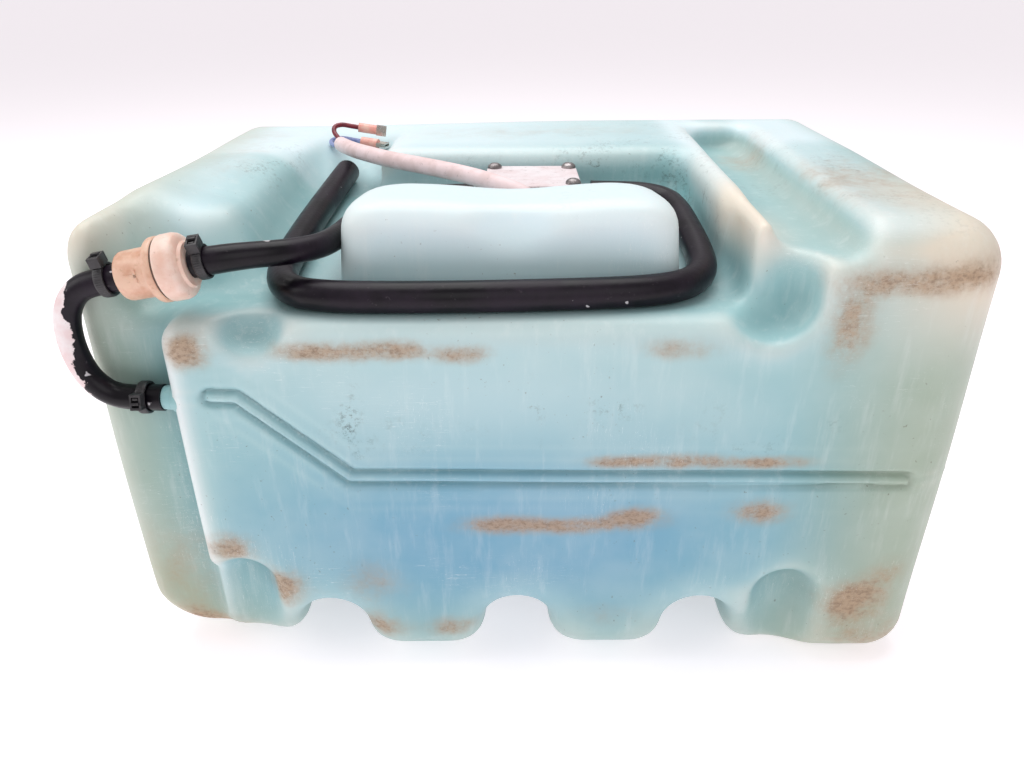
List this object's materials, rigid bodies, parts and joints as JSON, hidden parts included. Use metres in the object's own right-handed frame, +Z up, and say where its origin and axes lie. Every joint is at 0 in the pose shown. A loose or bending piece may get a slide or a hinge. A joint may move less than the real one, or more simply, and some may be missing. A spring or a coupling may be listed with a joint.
{
  "type": "fresh water tank",
  "caption": "Moulded fresh water tank with a recessed top that nests a small pump, a hose loop round a raised hump and an in-line non-return valve.",
  "frame": {"origin": "on the floor under the middle of the tank", "axes": "+X along the tank's length, away from the outlet stub; +Y from its front to its back; +Z up"},
  "size_m": [0.4669, 0.3227, 0.2794],
  "materials": {
    "tank_plastic": "satin translucent blow-moulded",
    "pipe_plastic": "smooth",
    "pump_plastic": "moulded",
    "gasket_rubber": "matt",
    "cover_metal": "dull, oxidised",
    "screw_steel": "tarnished",
    "seal_rubber": "matt",
    "bearing_bronze": "sintered",
    "can_steel": "plated",
    "magnet_ferrite": "ceramic magnet",
    "brush_carbon": "carbon",
    "sleeve_rubber": "matt",
    "shaft_steel": "ground",
    "impeller_rubber": "matt",
    "armature_iron": "laminated",
    "commutator_copper": "turned",
    "valve_plastic": "yellowed ivory",
    "poppet_plastic": "moulded",
    "spring_steel": "drawn wire",
    "tie_plastic": "nylon",
    "hose_rubber": "semi-matt, dusty",
    "cable_sheath": "aged sheath",
    "wire_red": "insulated",
    "wire_blue": "insulated",
    "sleeve_pink": "insulated",
    "clip_tin": "tinned",
    "gland_rubber": "matt"
  },
  "bodies": {
    "tank": {"tank_shell": "tank_plastic", "pickup_pipe": "pipe_plastic", "pump_body": "pump_plastic", "pump_gasket": "gasket_rubber", "pump_cover": "cover_metal", "cover_screws": "screw_steel", "shaft_seal": "seal_rubber", "front_bearing": "bearing_bronze", "rear_bearing": "bearing_bronze", "motor_can": "can_steel", "motor_end_cap": "pump_plastic", "magnets": "magnet_ferrite", "brushes": "brush_carbon", "motor_sleeve": "sleeve_rubber", "valve_inlet": "valve_plastic", "valve_outlet": "valve_plastic", "valve_seal": "seal_rubber", "poppet_spring": "spring_steel", "outlet_tie": "tie_plastic", "valve_inlet_tie": "tie_plastic", "valve_outlet_tie": "tie_plastic", "link_hose": "hose_rubber", "pump_hose": "hose_rubber", "delivery_hose": "hose_rubber", "pump_cable": "cable_sheath", "red_wire": "wire_red", "blue_wire": "wire_blue", "terminal_sleeves": "sleeve_pink", "terminal_clips": "clip_tin", "cable_gland": "gland_rubber"},
    "pump_rotor": {"pump_shaft": "shaft_steel", "impeller": "impeller_rubber", "armature": "armature_iron", "commutator": "commutator_copper"},
    "valve_poppet": {"poppet": "poppet_plastic", "poppet_seal": "seal_rubber"}
  },
  "joints": [
    {"name": "pump_spin", "type": "hinge", "parent": "tank", "child": "pump_rotor", "pos_m": [0.003, -0.007, 0.22], "axis": [0, 0, 1], "continuous": true},
    {"name": "poppet_slide", "type": "slide", "parent": "tank", "child": "valve_poppet", "axis": [0.9826, 0, 0.1857], "range_m": [0, 0.004], "stiffness_N_per_m": 60, "springref_m": -0.003, "deforming": ["poppet_spring"]}
  ]
}
